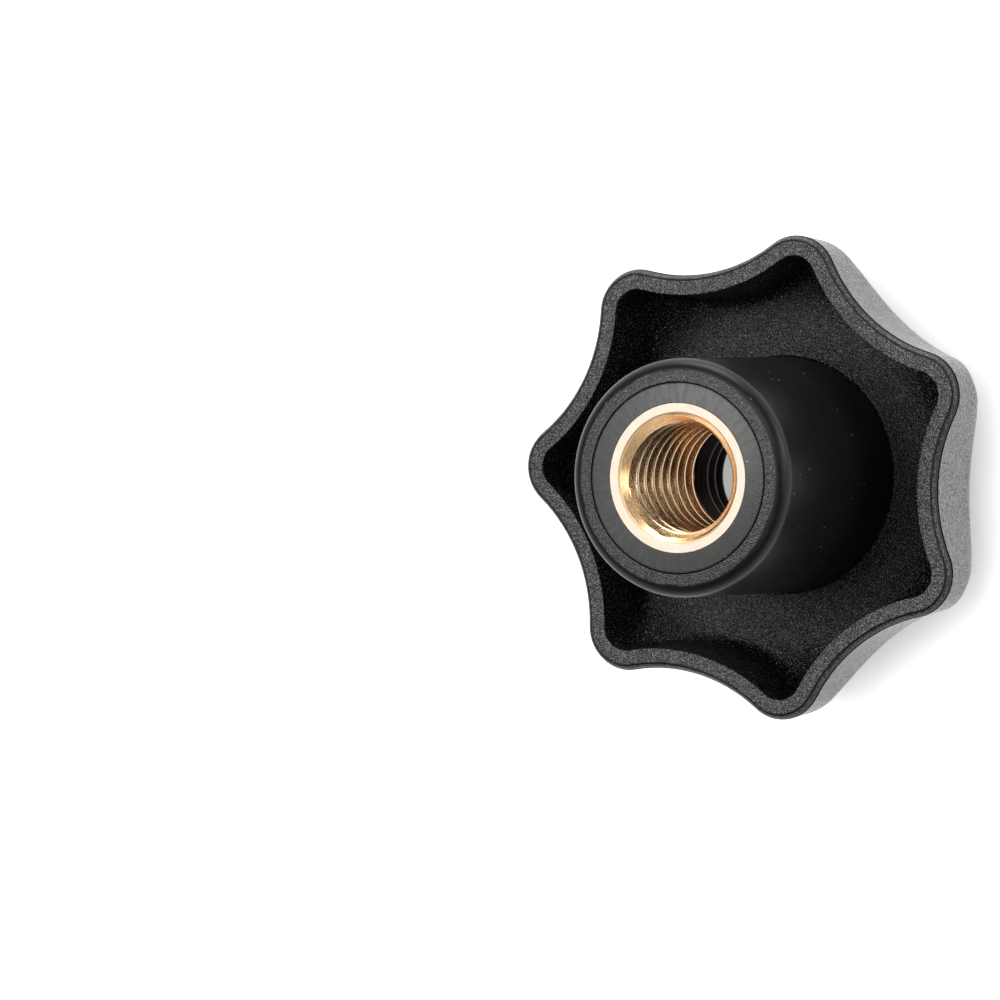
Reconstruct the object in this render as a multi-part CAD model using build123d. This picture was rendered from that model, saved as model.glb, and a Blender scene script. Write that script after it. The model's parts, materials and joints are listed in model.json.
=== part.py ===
"""Seven-lobe star knob with a moulded-in brass insert, threaded right through.

The knob lies on its grip face, hub end up. The origin is the centre of the grip face and +Z runs
along the axis towards the hub end. All sizes are in millimetres.
"""
from build123d import *
import os
from math import cos, pi, radians, sin, tan

# ---- driving sizes: grip -------------------------------------------------------------------
lobe_count = 7
knob_diameter = 70.0           # over the lobe tips, where the wall meets the lip
flute_reach = 29.4             # axis to the bottom of a flute, at the same level
lobe_tip_arc = 6.2             # radius of a lobe's tip, seen along the axis
skirt_height = 19.3            # grip face to rim
skirt_draft = 4.2              # degrees; the side wall leans in towards the face
face_round_radius = 17.3       # large arc by which the face falls away towards the lobe tips
face_edge_radius = 4.4         # rounding from that arc into the side wall
tip_margin = 0.5               # the large arc would turn upright this far past the lobe tips
rim_lip_radius = 0.9           # rounding of the rim's outer edge
parting_step = 0.1             # the lip stands back this far from the wall where the mould parts

# ---- driving sizes: pocket under the grip --------------------------------------------------
skirt_wall = 2.8               # at the rim
pocket_depth = 13.8            # below the rim
pocket_draft = 3.0             # degrees; the pocket narrows towards its floor
pocket_round_radius = 10.5     # arc by which the floor rises into the lobes, as the face does
pocket_floor_radius = 2.0      # rounding from the floor into the side walls

# ---- driving sizes: hub --------------------------------------------------------------------
hub_reach = 22.0               # hub end above the rim
hub_end_diameter = 33.3
hub_draft = 0.45               # degrees; the hub widens towards its root
hub_edge_radius = 1.9
hub_root_fillet = 0.4          # rounding from the hub into the pocket floor
witness_inset = 3.35           # hub's side to the fine ring left on its end by a mould sleeve
witness_width = 0.24
witness_depth = 0.12

# ---- driving sizes: thread and insert ------------------------------------------------------
thread_diameter = 18.0         # M18 x 2.5; the bore is cut at the thread's outside diameter
insert_wall = 1.4              # outside the thread's outside diameter
insert_length = 23.7
insert_collar = 1.8            # plain length at each end of the insert
insert_mouth = 0.22            # countersink at each end of the insert's bore
knurl_teeth = 48
knurl_depth = 0.45
groove_width = 2.6             # groove round the insert's middle that the plastic locks into
groove_depth = 0.65

# ---- driving sizes: recess in the grip face ------------------------------------------------
recess_diameter = 25.6
recess_depth = 9.8
recess_mouth = 0.4             # chamfer round the recess's mouth
ledge_chamfer = 0.4            # chamfer where the bore opens into the recess

# ---- levels and radii that follow ----------------------------------------------------------
rim_z = skirt_height
parting_z = rim_z - rim_lip_radius - parting_step
floor_z = rim_z - pocket_depth
hub_end_z = rim_z + hub_reach
insert_low_z = hub_end_z - insert_length
knob_radius = knob_diameter / 2
hub_end_radius = hub_end_diameter / 2
witness_radius = hub_end_radius - witness_inset
hub_root_radius = hub_end_radius + (hub_end_z - floor_z) * tan(radians(hub_draft))
bore_radius = thread_diameter / 2
insert_radius = bore_radius + insert_wall
knurl_length = (insert_length - 2 * insert_collar - groove_width) / 2
overrun = 1.0                  # how far a cutter stands past the surface that it opens


def lobed_outline(tip_reach, root_reach, tip_arc):
    """Closed outline of round lobes joined by hollow flutes, each arc tangent to the next."""
    half_step = pi / lobe_count
    tip_centre = tip_reach - tip_arc
    along = tip_centre * cos(half_step)
    flute_arc = (
        (tip_arc**2 - root_reach**2 - tip_centre**2 + 2 * along * root_reach)
        / (2 * (root_reach - along - tip_arc))
    )
    flute_centre = root_reach + flute_arc
    lean = tip_arc / (tip_arc + flute_arc)     # the arcs meet on the line between their centres
    meet_x = tip_centre + lean * (flute_centre * cos(half_step) - tip_centre)
    meet_y = lean * flute_centre * sin(half_step)
    arcs = []
    for lobe in range(lobe_count):
        turn = 2 * half_step * lobe
        start, tip, end = (turned(x, y, turn) for x, y in
                           ((meet_x, -meet_y), (tip_reach, 0), (meet_x, meet_y)))
        root = turned(root_reach, 0, turn + half_step)
        next_start = turned(meet_x, -meet_y, turn + 2 * half_step)
        arcs += [ThreePointArc(start, tip, end), ThreePointArc(end, root, next_start)]
    return make_face(arcs)


def turned(x, y, angle):
    """The point x, y turned about the axis."""
    return (x * cos(angle) - y * sin(angle), x * sin(angle) + y * cos(angle))


def ring(points):
    """Solid of revolution about the axis of a closed (radius, height) profile."""
    return revolve(Plane.XZ * make_face(Polyline(*points, close=True)), axis=Axis.Z)


def rounded_blank(reach, low_z, face_arc):
    """Round blank to past the rim, whose low face turns into its side in one large arc.

    Its seam is turned away from the lobe tips and the flute bottoms, where it would split the
    edges that are rounded later.
    """
    height = rim_z - low_z + face_arc
    blank = Pos(0, 0, low_z + height / 2) * Cylinder(reach, height)
    return Rot(0, 0, 90 / lobe_count) * fillet(blank.edges().group_by(Axis.Z)[0], face_arc)


def side_meets_face(solid, face_reach):
    """Edges between a lobed solid's side wall and its rounded low face."""
    return solid.edges().filter_by(
        lambda edge: all(
            Vector(v.X, v.Y).length > face_reach and v.Z < parting_z - overrun
            for v in edge.vertices())
    )


def skirt():
    """The grip before it is hollowed: a drafted lobed wall, and a rounded lip on top of it.

    The mould parts where the two meet, so the lip is a little smaller than the wall there.
    """
    outline = Pos(0, 0, parting_z) * lobed_outline(knob_radius, flute_reach, lobe_tip_arc)
    grip = extrude(outline, amount=parting_z, dir=(0, 0, -1), taper=skirt_draft)
    reach = knob_radius + tip_margin
    grip &= rounded_blank(reach, 0, face_round_radius)
    grip = fillet(side_meets_face(grip, reach - face_round_radius + overrun), face_edge_radius)
    lip = extrude(
        Pos(0, 0, parting_z) * lobed_outline(
            knob_radius - parting_step, flute_reach - parting_step, lobe_tip_arc - parting_step),
        amount=rim_z - parting_z)
    return grip + fillet(lip.edges().group_by(Axis.Z)[-1], rim_lip_radius)


def pocket():
    """The hollow under the grip, with the hub still inside it; its floor follows the face."""
    outline = Pos(0, 0, rim_z) * lobed_outline(
        knob_radius - skirt_wall, flute_reach - skirt_wall, lobe_tip_arc - skirt_wall)
    hollow = extrude(outline, amount=pocket_depth, dir=(0, 0, -1), taper=pocket_draft)
    reach = knob_radius - skirt_wall + tip_margin
    hollow &= rounded_blank(reach, floor_z, pocket_round_radius)
    floor_edges = side_meets_face(hollow, reach - pocket_round_radius + overrun)
    return fillet(floor_edges, pocket_floor_radius)


def hub():
    """The round hub, from inside the web to its end, with the witness ring cut in that end."""
    root_z = floor_z / 2
    profile = Polyline((0, root_z), (hub_root_radius, root_z), (hub_root_radius, floor_z),
                       (hub_end_radius, hub_end_z), (0, hub_end_z), close=True)
    section = make_face(profile)
    corner = section.vertices().sort_by(lambda v: v.X + v.Y)[-1]
    section = fillet(corner, hub_edge_radius)
    inner = witness_radius - witness_width / 2
    outer = inner + witness_width
    low = hub_end_z - witness_depth
    top = hub_end_z + overrun
    return revolve(Plane.XZ * section, axis=Axis.Z) - ring(
        [(inner, low), (outer, low), (outer, top), (inner, top)])


def knurl_band(low_z):
    """One straight-knurled band of the insert, from its low end up."""
    root = insert_radius - knurl_depth
    step = pi / knurl_teeth
    points = [turned(root if n % 2 else insert_radius, 0, n * step) for n in range(2 * knurl_teeth)]
    return extrude(Pos(0, 0, low_z) * make_face(Polyline(*points, close=True)), amount=knurl_length)


def insert_blank():
    """The insert's outside, which the body is moulded round: collars, knurls and groove."""
    core = insert_radius - groove_depth
    low_knurl_z = insert_low_z + insert_collar
    high_knurl_z = hub_end_z - insert_collar - knurl_length
    blank = ring([
        (0, insert_low_z), (insert_radius, insert_low_z), (insert_radius, low_knurl_z),
        (core, low_knurl_z), (core, hub_end_z - insert_collar),
        (insert_radius, hub_end_z - insert_collar), (insert_radius, hub_end_z), (0, hub_end_z),
    ])
    return blank + knurl_band(low_knurl_z) + knurl_band(high_knurl_z)


def insert_bore():
    """Cutter for the insert's threaded hole, opened out at both ends."""
    mouth = bore_radius + insert_mouth
    return ring([
        (0, insert_low_z - overrun), (mouth, insert_low_z - overrun), (mouth, insert_low_z),
        (bore_radius, insert_low_z + insert_mouth), (bore_radius, hub_end_z - insert_mouth),
        (mouth, hub_end_z), (mouth, hub_end_z + overrun), (0, hub_end_z + overrun),
    ])


def body_bore():
    """Cutter for the recess in the grip face and the threaded hole from there to the insert."""
    recess = recess_diameter / 2
    ledge = bore_radius + ledge_chamfer
    return ring([
        (0, -overrun), (recess + recess_mouth, -overrun), (recess + recess_mouth, 0),
        (recess, recess_mouth), (recess, recess_depth), (ledge, recess_depth),
        (bore_radius, recess_depth + ledge_chamfer), (bore_radius, hub_end_z), (0, hub_end_z),
    ])


def knob_body():
    """The one-piece moulding: hollow lobed grip, web and hub, moulded round the insert."""
    body = skirt() - pocket() + hub()
    root = body.edges().filter_by(GeomType.CIRCLE).filter_by(
        lambda edge: abs(edge.center().Z - floor_z) < 0.01 and abs(edge.radius - hub_root_radius) < 0.01)
    return fillet(root, hub_root_fillet) - insert_blank() - body_bore()


def threaded_insert():
    """The brass insert."""
    return insert_blank() - insert_bore()


os.makedirs("parts", exist_ok=True)
for name, shape in (("knob_body", knob_body()), ("threaded_insert", threaded_insert())):
    export_step(shape, f"parts/{name}.step")
    print(name, "volume", round(shape.volume, 1), "solids", len(shape.solids()))
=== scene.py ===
"""Looks of a seven-lobe star knob: moulded grip and hub, turned brass insert, cut thread, studio.

The knob lies on its grip face with the hub up. Everything is in metres, in the frame's own axes.
The file is laid out as an add-on and run as a script.
"""
import json
from math import cos, pi, radians, sin, tau
from types import SimpleNamespace

import bmesh
import bpy
from bpy.props import FloatProperty, FloatVectorProperty, IntProperty, PointerProperty
from mathutils import Matrix, Vector


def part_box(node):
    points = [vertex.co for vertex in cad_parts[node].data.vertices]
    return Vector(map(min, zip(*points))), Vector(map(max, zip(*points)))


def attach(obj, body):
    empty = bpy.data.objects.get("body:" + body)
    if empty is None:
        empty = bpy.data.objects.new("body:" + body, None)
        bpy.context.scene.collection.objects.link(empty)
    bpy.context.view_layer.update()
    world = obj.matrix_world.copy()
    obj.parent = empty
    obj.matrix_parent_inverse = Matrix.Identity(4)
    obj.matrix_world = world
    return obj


bl_info = {
    "name": "Star knob",
    "version": (1, 0, 0),
    "blender": (4, 5, 0),
    "location": "3D View > Sidebar > Star Knob",
    "description": "Finishes, thread and studio for a moulded star knob with a brass insert",
    "category": "Add Mesh",
}

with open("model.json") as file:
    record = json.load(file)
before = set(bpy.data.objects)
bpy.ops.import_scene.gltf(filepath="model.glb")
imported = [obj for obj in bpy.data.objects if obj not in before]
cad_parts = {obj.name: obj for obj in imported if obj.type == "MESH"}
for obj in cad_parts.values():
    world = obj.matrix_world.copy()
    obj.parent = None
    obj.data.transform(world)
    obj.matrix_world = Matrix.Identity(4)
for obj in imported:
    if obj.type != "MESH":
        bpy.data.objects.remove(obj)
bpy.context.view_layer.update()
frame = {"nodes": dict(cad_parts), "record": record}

BODY = "knob_body"
INSERT = "threaded_insert"
MM = 0.001

# ---- levels and radii from the frame -------------------------------------------------------

mounts = {mount["name"]: mount for mount in frame["record"]["mounts"]}
thread_mount = mounts["thread"]
THREAD_RADIUS = thread_mount["dims"]["r_mm"] * MM
THREAD_LENGTH = thread_mount["dims"]["length_mm"] * MM
THREAD_LOW = thread_mount["pos_m"][2] - THREAD_LENGTH / 2
THREAD_HIGH = thread_mount["pos_m"][2] + THREAD_LENGTH / 2
HUB_END = mounts["hub_end"]["pos_m"][2]
RECESS_RADIUS = mounts["grip_recess"]["dims"]["r_mm"] * MM
INSERT_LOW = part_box(INSERT)[0].z
MOUTH = HUB_END - THREAD_HIGH
RIM = max(opening["box_m"][1][2] for opening in frame["record"]["physics"]["openings"])

# ---- places on the moulding that its finish tells apart ------------------------------------

POCKET_FLOOR = 5.5 * MM
HUB_REACH = 17.2 * MM          # just outside the hub at its root
SLEEVE_RING = 13.3 * MM        # middle of the fine ring on the hub's end
WALL_REACH = 20 * MM           # between the hub and the grip's wall
LIP_REACH = 25 * MM            # between the pocket and the lip, all round

# ---- tones of the moulding, as multiples of its colour -------------------------------------

OUTSIDE_GRAINS = (0.5, 7.0)    # between the grains, and on them
# In the pocket: far darker between the grains and fewer pale grains, as painted shade over the
# real grain.
POCKET_GRAINS_AND_SHADE = (0.05, 6.0)
HUB_END_GRAINS = (1.1, 3.6)
LIP_GRAINS = (0.8, 6.0)
SMOOTH_TONE = 0.22
SMEAR_TONE = 0.6
BORE_TONE = 2.4
LIP_TONE = 0.1

CROWN = 3.0                    # the hub's end bulges by this, per metre, times radius squared


# ---- settings that a user would change -----------------------------------------------------

class KnobThread(bpy.types.PropertyGroup):
    """Sizes of the thread that runs through the insert and the plastic under it."""
    pitch: FloatProperty(
        name="Pitch", description="Advance of the thread in one turn",
        default=2.5 * MM, unit="LENGTH")
    crest_radius: FloatProperty(
        name="Crest radius", description="Axis to the thread's inner edge",
        default=7.65 * MM, unit="LENGTH")
    crest_width: FloatProperty(
        name="Crest width", description="Flat width of the thread's inner edge",
        default=0.55 * MM, unit="LENGTH")
    root_width: FloatProperty(
        name="Root width", description="Flat width at the bottom of the groove",
        default=0.34 * MM, unit="LENGTH")
    start: FloatProperty(
        name="Start", description="Height of a groove on the +X side, above the grip face",
        default=-0.77 * MM, unit="LENGTH")
    turn_steps: IntProperty(
        name="Steps per turn", description="Facets round the thread", default=160)


class KnobFinish(bpy.types.PropertyGroup):
    """Colours and surface of the moulding and the brass."""
    plastic_colour: FloatVectorProperty(
        name="Plastic", description="Colour of the moulding", subtype="COLOR", size=3,
        min=0, max=1, default=(0.026, 0.0265, 0.029))
    grain_size: FloatProperty(
        name="Grain size", description="Width of one pit of the spark-eroded grain",
        default=0.22 * MM, unit="LENGTH")
    grain_depth: FloatProperty(
        name="Grain depth", description="Depth of the spark-eroded grain",
        default=0.15 * MM, unit="LENGTH")
    grained_roughness: FloatProperty(
        name="Grained roughness", description="Roughness of the grained faces", default=0.26)
    smooth_roughness: FloatProperty(
        name="Smooth roughness", description="Roughness of the hub, rim lip and recess",
        default=0.34)
    brass_colour: FloatVectorProperty(
        name="Brass", description="Colour of the insert", subtype="COLOR", size=3,
        min=0, max=1, default=(0.90, 0.60, 0.32))
    # Painted highlight: the insert's end face is coloured paler than the brass.
    end_highlight_colour: FloatVectorProperty(
        name="Insert end", description="Colour of the insert's satin end face", subtype="COLOR",
        size=3, min=0, max=1, default=(0.92, 0.765, 0.65))
    # Painted highlight: the cone at the thread's mouth is coloured paler than the brass.
    mouth_highlight_colour: FloatVectorProperty(
        name="Thread mouth", description="Colour of the cone that opens the thread",
        subtype="COLOR", size=3, min=0, max=1, default=(1.0, 0.88, 0.72))
    # Painted highlight: the thread's inner edge is coloured paler than the brass.
    crest_highlight_colour: FloatVectorProperty(
        name="Thread crest", description="Colour of the thread's worn inner edge",
        subtype="COLOR", size=3, min=0, max=1, default=(0.96, 0.76, 0.52))
    # The crest's painted highlight, dimmed by painted shade far down the bore.
    deep_crest_highlight_colour: FloatVectorProperty(
        name="Deep crest", description="Colour of that edge far down the bore",
        subtype="COLOR", size=3, min=0, max=1, default=(0.74, 0.53, 0.33))
    dust_colour: FloatVectorProperty(
        name="Dust", description="Colour of the flecks of dust", subtype="COLOR", size=3,
        min=0, max=1, default=(0.30, 0.31, 0.32))
    # Painted shade: near black in the sleeve's ring groove and under the parting step.
    line_shade_colour: FloatVectorProperty(
        name="Mould lines", description="Colour of the sleeve's ring and the parting line",
        subtype="COLOR", size=3, min=0, max=1, default=(0.004, 0.004, 0.004))


class KnobStudio(bpy.types.PropertyGroup):
    """Floor, lamps and camera."""
    floor_colour: FloatVectorProperty(
        name="Floor", description="Colour of the floor", subtype="COLOR", size=3,
        min=0, max=1, default=(0.62, 0.62, 0.62))
    floor_size: FloatProperty(
        name="Floor size", description="Side of the floor", default=6.0, unit="LENGTH")
    floor_level: FloatProperty(
        name="Floor level", description="White added to the open floor where it is looked at",
        default=0.92)
    shadow_level: FloatProperty(
        name="Shadow level", description="White added where the knob stands on the floor",
        default=0.40)
    shadow_reach: FloatProperty(
        name="Shadow reach", description="How far from the knob its contact shadow reaches",
        default=8 * MM, unit="LENGTH")
    # Painted shade: the floor seen through the bore gets less white than the open floor.
    hole_shade_level: FloatProperty(
        name="Hole level", description="White added to the floor that shows through the bore",
        default=0.42)
    lamp_level: FloatProperty(
        name="Lamp level", description="Brightness of the lamps, 1 as set up", default=1.0)
    lamp_colour: FloatVectorProperty(
        name="Lamp colour", description="Colour of the lamps", subtype="COLOR", size=3,
        min=0, max=1, default=(1.0, 0.99, 0.965))
    lamp_distance: FloatProperty(
        name="Lamp distance", description="From the middle of the rim to each lamp",
        default=0.9, unit="LENGTH")
    camera_distance: FloatProperty(
        name="Camera distance", description="Along the view axis, from the rim's plane",
        default=900.3 * MM, unit="LENGTH")
    camera_tilt: FloatProperty(
        name="Camera tilt", description="Away from looking straight down", subtype="ANGLE",
        default=radians(27.39))
    camera_turn: FloatProperty(
        name="Camera turn", description="Round the knob's axis", subtype="ANGLE",
        default=radians(-4.66))
    camera_roll: FloatProperty(
        name="Camera roll", description="Round the view axis", subtype="ANGLE",
        default=radians(182.14))
    camera_lens: FloatProperty(
        name="Lens", description="Focal length in millimetres", default=228.7)
    aside: FloatProperty(
        name="Aside", description="How far the knob stands right of the view axis",
        default=34.68 * MM, unit="LENGTH")
    above: FloatProperty(
        name="Above", description="How far the knob stands above the view axis",
        default=3.43 * MM, unit="LENGTH")


# ---- shader nodes --------------------------------------------------------------------------

class Board:
    """A material's node tree, with short calls for the nodes that the finishes use."""

    def __init__(self, name):
        self.material = bpy.data.materials.new(name)
        self.material.use_nodes = True
        self.tree = self.material.node_tree
        self.tree.nodes.clear()
        self.shader = self.add("ShaderNodeBsdfPrincipled")
        self.output = self.add("ShaderNodeOutputMaterial")
        self.join(self.shader.outputs[0], self.output.inputs["Surface"])

    def add(self, kind, **settings):
        node = self.tree.nodes.new(kind)
        for key, value in settings.items():
            setattr(node, key, value)
        return node

    def join(self, source, socket):
        """Links a node's output to a socket, or sets the socket to a plain number."""
        if isinstance(source, bpy.types.NodeSocket):
            self.tree.links.new(source, socket)
        else:
            socket.default_value = source

    def maths(self, operation, first, second=0.0):
        node = self.add("ShaderNodeMath", operation=operation)
        self.join(first, node.inputs[0])
        self.join(second, node.inputs[1])
        return node.outputs[0]

    def total(self, *values):
        result = values[0]
        for value in values[1:]:
            result = self.maths("ADD", result, value)
        return result

    def product(self, *values):
        result = values[0]
        for value in values[1:]:
            result = self.maths("MULTIPLY", result, value)
        return result

    def most(self, *values):
        result = values[0]
        for value in values[1:]:
            result = self.maths("MAXIMUM", result, value)
        return result

    def invert(self, value):
        return self.maths("SUBTRACT", 1.0, value)

    def rises(self, value, low, high, start=0.0, end=1.0):
        """Goes smoothly from start to end while value goes from low to high."""
        node = self.add("ShaderNodeMapRange", interpolation_type="SMOOTHSTEP")
        for socket, number in zip(node.inputs, (value, low, high, start, end)):
            self.join(number, socket)
        return node.outputs[0]

    def between(self, value, low, high, edge):
        """1 while value lies from low to high, 0 outside, with soft edges inside that range."""
        return self.product(
            self.rises(value, low, low + edge), self.rises(value, high, high - edge))

    def blend(self, share, first, second):
        """first where share is 0, second where it is 1."""
        node = self.add("ShaderNodeMix", data_type="FLOAT")
        self.join(share, node.inputs[0])
        self.join(first, node.inputs[2])
        self.join(second, node.inputs[3])
        return node.outputs[0]

    def tint(self, share, first, second):
        """Colour first where share is 0, second where it is 1."""
        node = self.add("ShaderNodeMix", data_type="RGBA")
        self.join(share, node.inputs[0])
        for colour, socket in ((first, node.inputs[6]), (second, node.inputs[7])):
            if isinstance(colour, bpy.types.NodeSocket):
                self.tree.links.new(colour, socket)
            else:
                socket.default_value = (*colour, 1.0)
        return node.outputs[2]

    def coordinates(self):
        """The point on the object, its height, its distance from the axis and its angle."""
        place = self.add("ShaderNodeTexCoord").outputs["Object"]
        split = self.add("ShaderNodeSeparateXYZ")
        self.join(place, split.inputs[0])
        x, y, z = split.outputs
        reach = self.maths("SQRT", self.total(self.product(x, x), self.product(y, y)))
        angle = self.maths("ARCTAN2", y, x)
        return place, z, reach, angle

    def facing(self, place):
        """How far the surface faces up, and how far away from the axis, both from 1 to -1."""
        normal = self.add("ShaderNodeTexCoord").outputs["Normal"]
        split = self.add("ShaderNodeSeparateXYZ")
        self.join(normal, split.inputs[0])
        flat = self.add("ShaderNodeVectorMath", operation="MULTIPLY")
        self.join(place, flat.inputs[0])
        flat.inputs[1].default_value = (1, 1, 0)
        outward = self.add("ShaderNodeVectorMath", operation="NORMALIZE")
        self.join(flat.outputs[0], outward.inputs[0])
        along = self.add("ShaderNodeVectorMath", operation="DOT_PRODUCT")
        self.join(normal, along.inputs[0])
        self.join(outward.outputs[0], along.inputs[1])
        return split.outputs[2], along.outputs["Value"]

    def vector(self, x, y, z):
        node = self.add("ShaderNodeCombineXYZ")
        for value, socket in zip((x, y, z), node.inputs):
            self.join(value, socket)
        return node.outputs[0]

    def noise(self, place, size, detail=2.0, roughness=0.5):
        """Soft noise whose blotches are about size across."""
        node = self.add("ShaderNodeTexNoise")
        self.join(place, node.inputs["Vector"])
        node.inputs["Scale"].default_value = 1 / size
        node.inputs["Detail"].default_value = detail
        node.inputs["Roughness"].default_value = roughness
        return node.outputs["Fac"]

    def cells(self, place, size):
        """Cells about size across: distances from their middles, and a colour for each."""
        node = self.add("ShaderNodeTexVoronoi")
        self.join(place, node.inputs["Vector"])
        node.inputs["Scale"].default_value = 1 / size
        return node.outputs["Distance"], node.outputs["Color"]

    def bump(self, height, depth, strength=1.0, under=None):
        """Normals of a relief whose height runs from 0 to depth, over those of under."""
        node = self.add("ShaderNodeBump")
        node.inputs["Distance"].default_value = depth
        self.join(strength, node.inputs["Strength"])
        self.join(height, node.inputs["Height"])
        if under is not None:
            self.join(under, node.inputs["Normal"])
        return node.outputs[0]

    def finish(self, sockets):
        """Joins values, colours and numbers to the shader's sockets by name."""
        for name, value in sockets.items():
            self.join(value, self.shader.inputs[name])
        return self.material


def shaded(colour, *factors):
    """The colour times one factor, or times one for each of red, green and blue."""
    factors = factors * 3 if len(factors) == 1 else factors
    return tuple(value * factor for value, factor in zip(colour, factors))


def paint(piece, material):
    """Gives a piece one finish. On a CAD node it hangs on the object and leaves the mesh alone."""
    if not piece.material_slots:
        piece.data.materials.append(material)
    for holder in piece.material_slots:
        holder.link = "OBJECT"
        holder.material = material


# ---- finish of the moulding ----------------------------------------------------------------

def dust(board, place):
    """Sparse light flecks: 1 on a fleck, 0 elsewhere."""
    spacing, radius, bare_share = 1.5 * MM, 0.11 * MM, 0.6
    distance, colour = board.cells(place, spacing)
    split = board.add("ShaderNodeSeparateColor")
    board.join(colour, split.inputs[0])
    near = board.maths("LESS_THAN", distance, radius / spacing)
    return board.product(near, board.maths("GREATER_THAN", split.outputs[0], bare_share))


def body_zones(board, place, z, reach):
    """The moulding's faces and lines by name, each 1 on it and 0 elsewhere."""
    up, out = board.facing(place)
    hub = board.product(
        board.rises(reach, HUB_REACH + 0.1 * MM, HUB_REACH - 0.1 * MM),
        board.rises(z, POCKET_FLOOR + 0.4 * MM, POCKET_FLOOR + 0.8 * MM))
    end = board.product(
        hub, board.rises(up, 0.985, 0.998),
        board.rises(z, HUB_END - 0.5 * MM, HUB_END - 0.3 * MM))
    inner_end = board.product(end, board.rises(reach, SLEEVE_RING + 0.15 * MM, SLEEVE_RING))
    outer_end = board.product(end, board.invert(inner_end))
    lip = board.product(
        board.between(z, RIM - 1.1 * MM, RIM + 0.6 * MM, 0.2 * MM),
        board.rises(up, 0.04, 0.12), board.rises(up, 0.995, 0.97))
    lip_band = board.product(lip, board.rises(up, 0.40, 0.52), board.rises(up, 0.92, 0.84))
    wall = board.product(
        board.rises(out, 0.2, 0.5), board.rises(up, 0.45, 0.25),
        board.rises(reach, WALL_REACH, WALL_REACH + 1 * MM),
        board.rises(z, RIM - 0.9 * MM, RIM - 1.0 * MM))
    inside = board.product(
        board.rises(z, RIM - 0.02 * MM, RIM - 0.1 * MM),
        board.rises(z, POCKET_FLOOR - 0.6 * MM, POCKET_FLOOR - 0.2 * MM), board.invert(wall))
    recess = board.product(
        board.rises(reach, RECESS_RADIUS + 0.5 * MM, RECESS_RADIUS + 0.3 * MM),
        board.rises(z, THREAD_LOW + 0.4 * MM, THREAD_LOW + 0.2 * MM))
    ledge = board.product(recess, board.rises(z, THREAD_LOW - 1.2 * MM, THREAD_LOW - 0.6 * MM))
    bore = board.product(
        board.rises(reach, THREAD_RADIUS + 0.1 * MM, THREAD_RADIUS + 0.05 * MM),
        board.rises(z, THREAD_LOW - 0.1 * MM, THREAD_LOW))
    # Painted shade in the groove of the sleeve's ring on the hub's end.
    ring_groove_shade = board.product(
        board.between(reach, SLEEVE_RING - 0.12 * MM, SLEEVE_RING + 0.12 * MM, 0.06 * MM),
        board.rises(z, HUB_END - 0.4 * MM, HUB_END - 0.3 * MM))
    # Painted shadow under the parting step, just below the rim's lip.
    parting_step_shadow = board.product(
        board.between(z, RIM - 1.20 * MM, RIM - 0.82 * MM, 0.12 * MM),
        board.rises(reach, LIP_REACH, LIP_REACH + 1 * MM), board.rises(out, -0.2, 0.0))
    return SimpleNamespace(
        hub=hub, end=end, inner_end=inner_end, outer_end=outer_end, lip=lip, lip_band=lip_band,
        wall=wall, inside=inside, ledge=ledge, bore=bore,
        smooth=board.most(board.product(hub, board.invert(outer_end)), lip, recess),
        lines=board.most(ring_groove_shade, parting_step_shadow))


def plastic_colour(board, zones, settings, place, smears):
    """Pale grains on black where the mould is eroded, near black where it is polished.

    Painted shade makes the pocket darker and the ring groove and parting step near black.
    """
    base = settings.plastic_colour
    grains = board.noise(place, 0.8 * settings.grain_size, detail=0.0)
    dark, bright = (
        board.tint(
            zones.outer_end, board.tint(zones.inside, shaded(base, outside), shaded(base, inside)),
            shaded(base, hub_end))
        for outside, inside, hub_end in zip(OUTSIDE_GRAINS, POCKET_GRAINS_AND_SHADE, HUB_END_GRAINS))
    # Fewer pale grains inside the pocket: painted shade.
    share = board.rises(
        grains, board.blend(zones.inside, 0.45, 0.60), board.blend(zones.inside, 0.75, 0.80))
    colour = board.tint(share, dark, bright)
    colour = board.tint(zones.smooth, colour, shaded(base, SMOOTH_TONE))
    smeared = board.product(zones.inner_end, board.rises(smears, 0.35, 0.7))
    colour = board.tint(smeared, colour, shaded(base, SMEAR_TONE))
    fleck = board.product(dust(board, place), board.most(zones.inside, zones.hub))
    colour = board.tint(fleck, colour, settings.dust_colour)
    colour = board.tint(zones.bore, colour, shaded(base, BORE_TONE))
    colour = board.tint(zones.lip, colour, shaded(base, LIP_TONE))
    lip_grains = board.tint(
        board.rises(grains, 0.42, 0.75), *(shaded(base, tone) for tone in LIP_GRAINS))
    colour = board.tint(zones.lip_band, colour, lip_grains)
    # The ring groove and the parting step are painted near black: painted shade.
    return board.tint(zones.lines, colour, settings.line_shade_colour)


def plastic_gloss(board, zones, settings, place, smears):
    """Specular level: uneven on the grained wall, and low on polished faces and in lines."""
    coarse = board.noise(place, 1.7 * settings.grain_size, detail=0.0)
    grained = board.blend(
        zones.wall, board.blend(zones.inside, 0.5, 0.36),
        board.rises(coarse, 0.35, 0.65, 0.30, 1.65))
    polished = board.blend(zones.inner_end, 0.26, board.rises(smears, 0.35, 0.65, 0.47, 0.41))
    return board.product(
        board.blend(zones.smooth, grained, polished), board.invert(zones.lines),
        board.blend(zones.bore, 1.0, 0.7))


def plastic_roughness(board, zones, settings, smears):
    """Rougher in the bore, and a little glossier inside the ring on the hub's end."""
    rough = board.blend(zones.smooth, settings.grained_roughness, settings.smooth_roughness)
    rough = board.total(
        rough, board.product(zones.inner_end, board.rises(smears, 0.3, 0.7, -0.12, -0.07)))
    return board.most(rough, board.product(zones.bore, 0.5))


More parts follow.
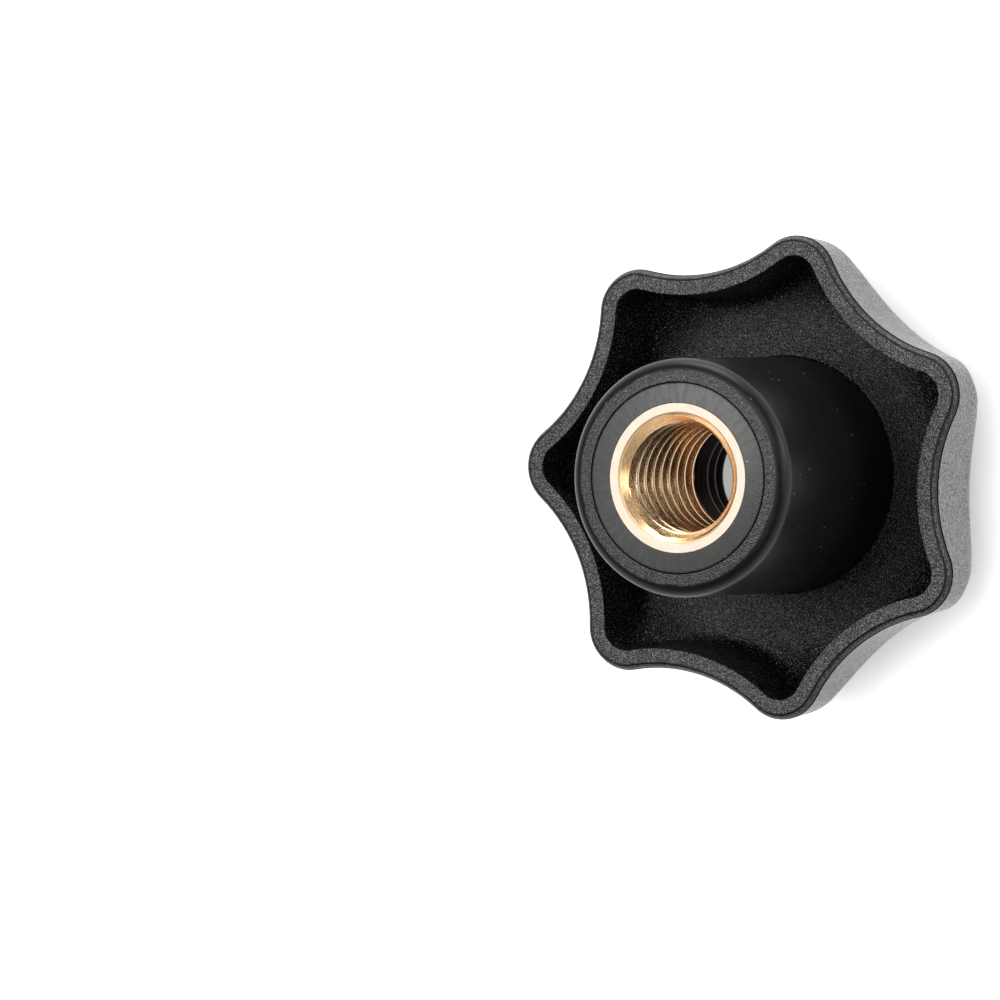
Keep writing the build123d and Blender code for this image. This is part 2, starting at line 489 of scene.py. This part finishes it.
def plastic_relief(board, zones, settings, place, reach):
    """Normals: soft edges, the grain, tool marks on the recess's ledge, and a crowned hub end."""
    edges = board.add("ShaderNodeBevel", samples=4)
    edges.inputs["Radius"].default_value = 0.25 * MM
    pits = board.noise(place, settings.grain_size, detail=1.0, roughness=0.35)
    strength = board.blend(
        zones.smooth, board.blend(zones.wall, 1.0, 1.7), board.blend(zones.lip, 0.10, 0.5))
    normal = board.bump(pits, settings.grain_depth, strength, under=edges.outputs[0])
    marks = board.noise(board.vector(0.0, 0.0, reach), 0.16 * MM, detail=2.0)
    normal = board.bump(marks, 0.03 * MM, board.product(zones.ledge, 0.8), under=normal)
    crowned = board.total(zones.end, board.product(zones.outer_end, 0.6))
    return board.bump(board.product(reach, reach, -CROWN), 1.0, crowned, under=normal)


def plastic_finish(settings):
    """Black moulding: grained all over, smooth on the hub, the rim's lip and the recess."""
    board = Board("moulded plastic")
    place, z, reach, angle = board.coordinates()
    zones = body_zones(board, place, z, reach)
    smears = board.noise(
        board.vector(board.product(angle, 14 * MM), board.product(reach, 0.3), 0.0),
        0.9 * MM, detail=3.0)
    return board.finish({
        "Base Color": plastic_colour(board, zones, settings, place, smears),
        "Roughness": plastic_roughness(board, zones, settings, smears),
        "Specular IOR Level": plastic_gloss(board, zones, settings, place, smears),
        "Normal": plastic_relief(board, zones, settings, place, reach),
    })


# ---- finishes of the brass -----------------------------------------------------------------

def along_cut(board, angle, reach, z, stretch):
    """Coordinates in which a noise is drawn out round the axis: the less stretch, the longer."""
    return board.vector(board.product(angle, stretch), reach, z)


def chattered_brass(board, settings, chatter):
    """The brass's colour, a little deeper where the tool chattered."""
    return board.tint(
        board.rises(chatter, 0.35, 0.75), settings.brass_colour,
        shaded(settings.brass_colour, 0.92, 0.86, 0.78))


def marked(board, rough, marks):
    """The roughness, uneven along the tool marks."""
    return board.total(rough, board.rises(marks, 0.3, 0.7, -0.05, 0.08))


def turned_brass(settings):
    """The insert's own finish: fine marks round it, and a satin end face with a painted highlight.
    """
    board = Board("turned brass")
    place, z, reach, angle = board.coordinates()
    marks = board.noise(along_cut(board, angle, reach, z, 0.6 * MM), 0.10 * MM, detail=3.0)
    chatter = board.noise(place, 1.4 * MM, detail=3.0)
    # The end face gets the paler colour, a painted highlight.
    end = board.rises(z, HUB_END - 0.1 * MM, HUB_END - 0.05 * MM)
    return board.finish({
        "Base Color": board.tint(
            end, chattered_brass(board, settings, chatter), settings.end_highlight_colour),
        "Roughness": marked(board, 0.60, marks),
        "Metallic": 1.0,
        "Normal": board.bump(marks, 0.02 * MM, 0.35),
    })


def cut_brass(settings, crest_radius):
    """The thread's finish: marks along the cut, painted highlights on the crests and the mouth's
    cone, and painted shade deep in the bore.
    """
    board = Board("cut brass")
    place, z, reach, angle = board.coordinates()
    marks = board.noise(
        along_cut(board, angle, reach, z, 1.4 * MM), 0.16 * MM, detail=4.0, roughness=0.65)
    chatter = board.noise(along_cut(board, angle, reach, z, 8 * MM), 0.7 * MM, detail=3.0)
    mouth_edge = THREAD_HIGH + THREAD_RADIUS      # height and radius add up to this on the cone
    mouth = board.rises(board.total(reach, z), mouth_edge - 0.16 * MM, mouth_edge - 0.08 * MM)
    crest = board.rises(reach, crest_radius + 0.28 * MM, crest_radius + 0.12 * MM)
    # Painted shade: darker brass from 2 mm to 8 mm below the hub's end, deep in the bore.
    bore_depth_shade = board.rises(z, HUB_END - 2.0 * MM, HUB_END - 8.0 * MM)
    colour = board.tint(
        bore_depth_shade, chattered_brass(board, settings, chatter),
        shaded(settings.brass_colour, 0.50, 0.43, 0.36))
    # Painted highlight on the crests, dimmed by the painted shade deep in the bore.
    colour = board.tint(
        crest, colour, board.tint(bore_depth_shade, settings.crest_highlight_colour, settings.deep_crest_highlight_colour))
    tangent = board.add("ShaderNodeTangent", direction_type="RADIAL", axis="Z")
    return board.finish({
        # The mouth's cone gets the paler colour, a painted highlight.
        "Base Color": board.tint(mouth, colour, settings.mouth_highlight_colour),
        "Roughness": marked(board, board.blend(mouth, 0.22, 0.50), marks),
        "Metallic": board.blend(mouth, 1.0, 0.40),
        "Normal": board.bump(marks, 0.02 * MM, 0.7),
        "Anisotropic": 0.75,
        "Tangent": tangent.outputs[0],
    })


# ---- finish of the floor -------------------------------------------------------------------

SHADOW_NORMAL = (0.27, -0.20, 0.94)


def floor_finish(settings):
    """Matt floor that the camera and reflections see as near white, with the knob's shadow.

    The shadow is darkest where the knob stands on the floor. It reaches further on the side that
    SHADOW_NORMAL leans away from. What shows through the bore is painted shade, an even grey.
    """
    board = Board("studio floor")
    path = board.add("ShaderNodeLightPath").outputs
    contact = board.add("ShaderNodeAmbientOcclusion", samples=10)
    contact.inputs["Distance"].default_value = settings.shadow_reach
    board.join(board.vector(*SHADOW_NORMAL), contact.inputs["Normal"])
    open_floor = board.rises(
        contact.outputs["AO"], 0.20, 0.94, settings.shadow_level, settings.floor_level)
    reach = board.coordinates()[2]
    # Painted shade under the knob: less glow within 12 mm of the axis.
    seen = board.blend(board.rises(reach, 12 * MM, 20 * MM), settings.hole_shade_level, open_floor)
    glow = board.add("ShaderNodeEmission")
    board.join(board.most(
        board.product(path["Is Camera Ray"], seen), path["Is Glossy Ray"],
        path["Is Transmission Ray"]), glow.inputs["Strength"])
    both = board.add("ShaderNodeAddShader")
    board.join(board.shader.outputs[0], both.inputs[0])
    board.join(glow.outputs[0], both.inputs[1])
    board.join(both.outputs[0], board.output.inputs["Surface"])
    return board.finish({
        "Base Color": (*settings.floor_colour, 1.0), "Roughness": 0.9, "Specular IOR Level": 0.0})


# ---- thread --------------------------------------------------------------------------------

def thread_profile(settings):
    """One pitch of the thread as (share of the pitch, radius), from mid-groove to mid-groove."""
    wall = THREAD_RADIUS - 0.01 * MM      # just clear of the bore in the solids
    crest = settings.crest_radius
    ease = 0.12 * MM                      # rounding of the corners, along the radius
    root_end = settings.root_width / 2 / settings.pitch
    crest_start = 0.5 - settings.crest_width / 2 / settings.pitch
    lean = (crest_start - root_end) * ease / (wall - crest)
    half = [
        (0.0, wall), (root_end, wall), (root_end + lean, wall - ease),
        ((root_end + crest_start) / 2, (wall + crest) / 2),
        (crest_start - lean, crest + ease), (crest_start, crest + ease / 4),
        (crest_start + lean, crest), (0.5, crest),
    ]
    return half + [(1 - share, radius) for share, radius in half[-2:0:-1]]


def thread_rows(settings, cuts):
    """The profile with each stretch cut, so that the cones at the ends meet it cleanly."""
    points = thread_profile(settings)
    next_points = points[1:] + [(1.0, points[0][1])]
    rows = []
    for (share, radius), (next_share, next_radius) in zip(points, next_points):
        for cut in range(cuts):
            part = cut / cuts
            rows.append((
                share + (next_share - share) * part, radius + (next_radius - radius) * part))
    return rows


def thread_sleeve(low, high, settings, coned):
    """Closed sleeve whose inside is the thread from low to high, opened by 45 degree cones.

    Each row of points follows the helix. The ends are cut flat, and the outside lies in the wall.
    """
    steps = settings.turn_steps
    rows = thread_rows(settings, cuts=2)
    first = int(low // settings.pitch) - 2
    last = int(high // settings.pitch) + 1
    mesh = bmesh.new()
    rings = []
    for turn in range(first, last + 1):
        for share, radius in rows:
            rings.append([
                mesh.verts.new((
                    radius * cos(tau * step / steps), radius * sin(tau * step / steps),
                    settings.start + (turn + share + step / steps) * settings.pitch))
                for step in range(steps + 1)])
    for lower, upper in zip(rings, rings[1:]):
        for step in range(steps):
            mesh.faces.new((lower[step], upper[step], upper[step + 1], lower[step + 1]))
    bmesh.ops.remove_doubles(mesh, verts=mesh.verts, dist=0.001 * MM)
    for height, direction in ((low, -1), (high, 1)):
        bmesh.ops.bisect_plane(
            mesh, geom=mesh.verts[:] + mesh.edges[:] + mesh.faces[:], dist=0.0001 * MM,
            plane_co=(0, 0, height), plane_no=(0, 0, direction), clear_outer=True)
    for vertex in mesh.verts:
        cone = THREAD_RADIUS - min(vertex.co.z - low, high - vertex.co.z) if coned else 0.0
        set_reach(vertex, max(vertex.co.xy.length, cone))
    close_sleeve(mesh)
    return mesh


def set_reach(vertex, reach):
    """Moves a point straight out from the axis, or in, to that distance from it."""
    scale = reach / vertex.co.xy.length
    vertex.co.x *= scale
    vertex.co.y *= scale


def close_sleeve(mesh):
    """Carries the sleeve's open ends out into the wall and joins them round the outside."""
    edges = [edge for edge in mesh.edges if edge.is_boundary]
    made = bmesh.ops.extrude_edge_only(mesh, edges=edges)["geom"]
    for vertex in (item for item in made if isinstance(item, bmesh.types.BMVert)):
        set_reach(vertex, THREAD_RADIUS + 0.04 * MM)
    outer = [edge for edge in mesh.edges if edge.is_boundary]
    bmesh.ops.bridge_loops(mesh, edges=outer)
    bmesh.ops.triangulate(mesh, faces=[face for face in mesh.faces if len(face.verts) > 4])
    bmesh.ops.recalc_face_normals(mesh, faces=mesh.faces)


def add_piece(name, mesh, material):
    """Makes an object of the mesh, crisp at its corners, that rides on the knob."""
    crisp = radians(28)
    for face in mesh.faces:
        face.smooth = True
    for edge in mesh.edges:
        edge.smooth = len(edge.link_faces) == 2 and edge.calc_face_angle() < crisp
    data = bpy.data.meshes.new(name)
    mesh.to_mesh(data)
    mesh.free()
    piece = bpy.data.objects.new(name, data)
    bpy.context.scene.collection.objects.link(piece)
    paint(piece, material)
    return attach(piece, "root")


# ---- studio --------------------------------------------------------------------------------

LAMPS = (   # name, turn round the axis from +X and rise from the floor in degrees, side, radiance
    ("overhead", 4, 62, 0.35, 3.4),
    ("overhead left", 325, 68, 0.35, 5.0),
    ("zenith", 0, 88, 0.36, 1.5),
    ("top", 270, 65, 0.35, 0.9),
    ("side", 205, 6, 0.30, 6.4),
    ("side high", 188, 30, 0.34, 2.4),
    ("back", 315, 12, 0.35, 0.6),
    ("fill", 40, 20, 0.45, 0.6),
    ("low left", 278, 11, 0.55, 5.5),
    ("high right", 240, 62, 0.24, 4.2),
    ("high left", 128, 66, 0.14, 5.0),
    ("front", 203, 44, 0.16, 3.0),
)


def camera_turning(studio):
    """The camera's axes, right, up and back, as the columns of a matrix."""
    return (
        Matrix.Rotation(-studio.camera_turn, 3, "Z")
        @ Matrix.Rotation(-studio.camera_tilt, 3, "Y")
        @ Matrix.Rotation(-studio.camera_roll, 3, "Z")
    )


def add_camera(studio):
    turning = camera_turning(studio)
    data = bpy.data.cameras.new("camera")
    data.lens = studio.camera_lens
    data.sensor_width = 36.0
    data.clip_start = 0.05
    camera = bpy.data.objects.new("camera", data)
    place = turning @ Vector((-studio.aside, -studio.above, studio.camera_distance))
    camera.matrix_world = Matrix.Translation(place + Vector((0, 0, RIM))) @ turning.to_4x4()
    bpy.context.scene.collection.objects.link(camera)
    bpy.context.scene.camera = camera


def add_lamp(studio, name, turn, rise, size, radiance):
    """Square soft box that faces the knob. Its radiance is what a mirror would show of it."""
    data = bpy.data.lights.new(name, "AREA")
    data.size = size
    data.energy = radiance * studio.lamp_level * pi * size**2
    data.color = studio.lamp_colour
    lamp = bpy.data.objects.new(name, data)
    aim = Vector((cos(turn) * cos(rise), sin(turn) * cos(rise), sin(rise)))
    lamp.location = aim * studio.lamp_distance + Vector((0, 0, RIM))
    lamp.rotation_euler = aim.to_track_quat("Z", "Y").to_euler()
    bpy.context.scene.collection.objects.link(lamp)


def add_world(level):
    """White behind everything that the camera sees, and a room that is palest near the floor."""
    darkens_from, darkens_to = 0.20, 0.50      # height of a direction, 0 level and 1 straight up
    pale, dark = 0.95, 0.03
    world = bpy.data.worlds.new("studio")
    world.use_nodes = True
    tree = world.node_tree
    split = tree.nodes.new("ShaderNodeSeparateXYZ")
    tree.links.new(tree.nodes.new("ShaderNodeTexCoord").outputs["Generated"], split.inputs[0])
    room = tree.nodes.new("ShaderNodeMapRange")
    tree.links.new(split.outputs[2], room.inputs["Value"])
    for name, value in (
            ("From Min", darkens_from), ("From Max", darkens_to),
            ("To Min", pale * level), ("To Max", dark * level)):
        room.inputs[name].default_value = value
    seen = tree.nodes.new("ShaderNodeMath")
    seen.operation = "MAXIMUM"
    tree.links.new(tree.nodes.new("ShaderNodeLightPath").outputs["Is Camera Ray"], seen.inputs[0])
    tree.links.new(room.outputs[0], seen.inputs[1])
    background = tree.nodes["Background"]
    background.inputs["Color"].default_value = (1, 1, 1, 1)
    tree.links.new(seen.outputs[0], background.inputs["Strength"])
    bpy.context.scene.world = world


# ---- operators -----------------------------------------------------------------------------

class KNOB_OT_dress_body(bpy.types.Operator):
    """Give the moulded body its black grained finish."""
    bl_idname = "knob.dress_body"
    bl_label = "Moulded body"

    def execute(self, context):
        paint(frame["nodes"][BODY], plastic_finish(context.scene.knob_finish))
        return {"FINISHED"}


class KNOB_OT_dress_insert(bpy.types.Operator):
    """Give the insert its turned brass finish."""
    bl_idname = "knob.dress_insert"
    bl_label = "Brass insert"

    def execute(self, context):
        paint(frame["nodes"][INSERT], turned_brass(context.scene.knob_finish))
        return {"FINISHED"}


class KNOB_OT_cut_thread(bpy.types.Operator):
    """Add the thread's ridges, in brass along the insert and in plastic below it."""
    bl_idname = "knob.cut_thread"
    bl_label = "Thread"

    def execute(self, context):
        settings = context.scene.knob_thread
        brass = thread_sleeve(INSERT_LOW + MOUTH, HUB_END - MOUTH, settings, coned=True)
        finish = cut_brass(context.scene.knob_finish, settings.crest_radius)
        add_piece("insert_thread", brass, finish)
        plastic = thread_sleeve(THREAD_LOW, INSERT_LOW, settings, coned=False)
        finish = frame["nodes"][BODY].material_slots[0].material
        add_piece("plastic_thread", plastic, finish)
        return {"FINISHED"}


class KNOB_OT_set_stage(bpy.types.Operator):
    """Add the floor, the soft boxes, the surroundings and the camera."""
    bl_idname = "knob.set_stage"
    bl_label = "Stage"

    def execute(self, context):
        studio = context.scene.knob_studio
        bpy.ops.mesh.primitive_plane_add(size=studio.floor_size)
        floor = context.object
        floor.name = "floor"
        paint(floor, floor_finish(studio))
        add_world(studio.lamp_level)
        for name, turn, rise, size, radiance in LAMPS:
            add_lamp(studio, name, radians(turn), radians(rise), size, radiance)
        add_camera(studio)
        context.scene.view_settings.view_transform = "Standard"
        return {"FINISHED"}


class KNOB_PT_panel(bpy.types.Panel):
    """Lists the knob's settings and steps."""
    bl_idname = "KNOB_PT_panel"
    bl_label = "Star Knob"
    bl_space_type = "VIEW_3D"
    bl_region_type = "UI"
    bl_category = "Star Knob"

    def draw(self, context):
        for group in (getattr(context.scene, name) for name in GROUPS):
            box = self.layout.box()
            for name in group.__annotations__:
                box.prop(group, name)
        for operator in OPERATORS:
            self.layout.operator(operator.bl_idname)


OPERATORS = (KNOB_OT_dress_body, KNOB_OT_dress_insert, KNOB_OT_cut_thread, KNOB_OT_set_stage)
GROUPS = {"knob_thread": KnobThread, "knob_finish": KnobFinish, "knob_studio": KnobStudio}


def register():
    for kind in (*GROUPS.values(), *OPERATORS, KNOB_PT_panel):
        bpy.utils.register_class(kind)
    for name, kind in GROUPS.items():
        setattr(bpy.types.Scene, name, PointerProperty(type=kind))


def unregister():
    for name in GROUPS:
        delattr(bpy.types.Scene, name)
    for kind in reversed((*GROUPS.values(), *OPERATORS, KNOB_PT_panel)):
        bpy.utils.unregister_class(kind)


def main():
    register()
    bpy.ops.knob.dress_body()
    bpy.ops.knob.dress_insert()
    bpy.ops.knob.cut_thread()
    bpy.ops.knob.set_stage()


if __name__ == "__main__":
    main()
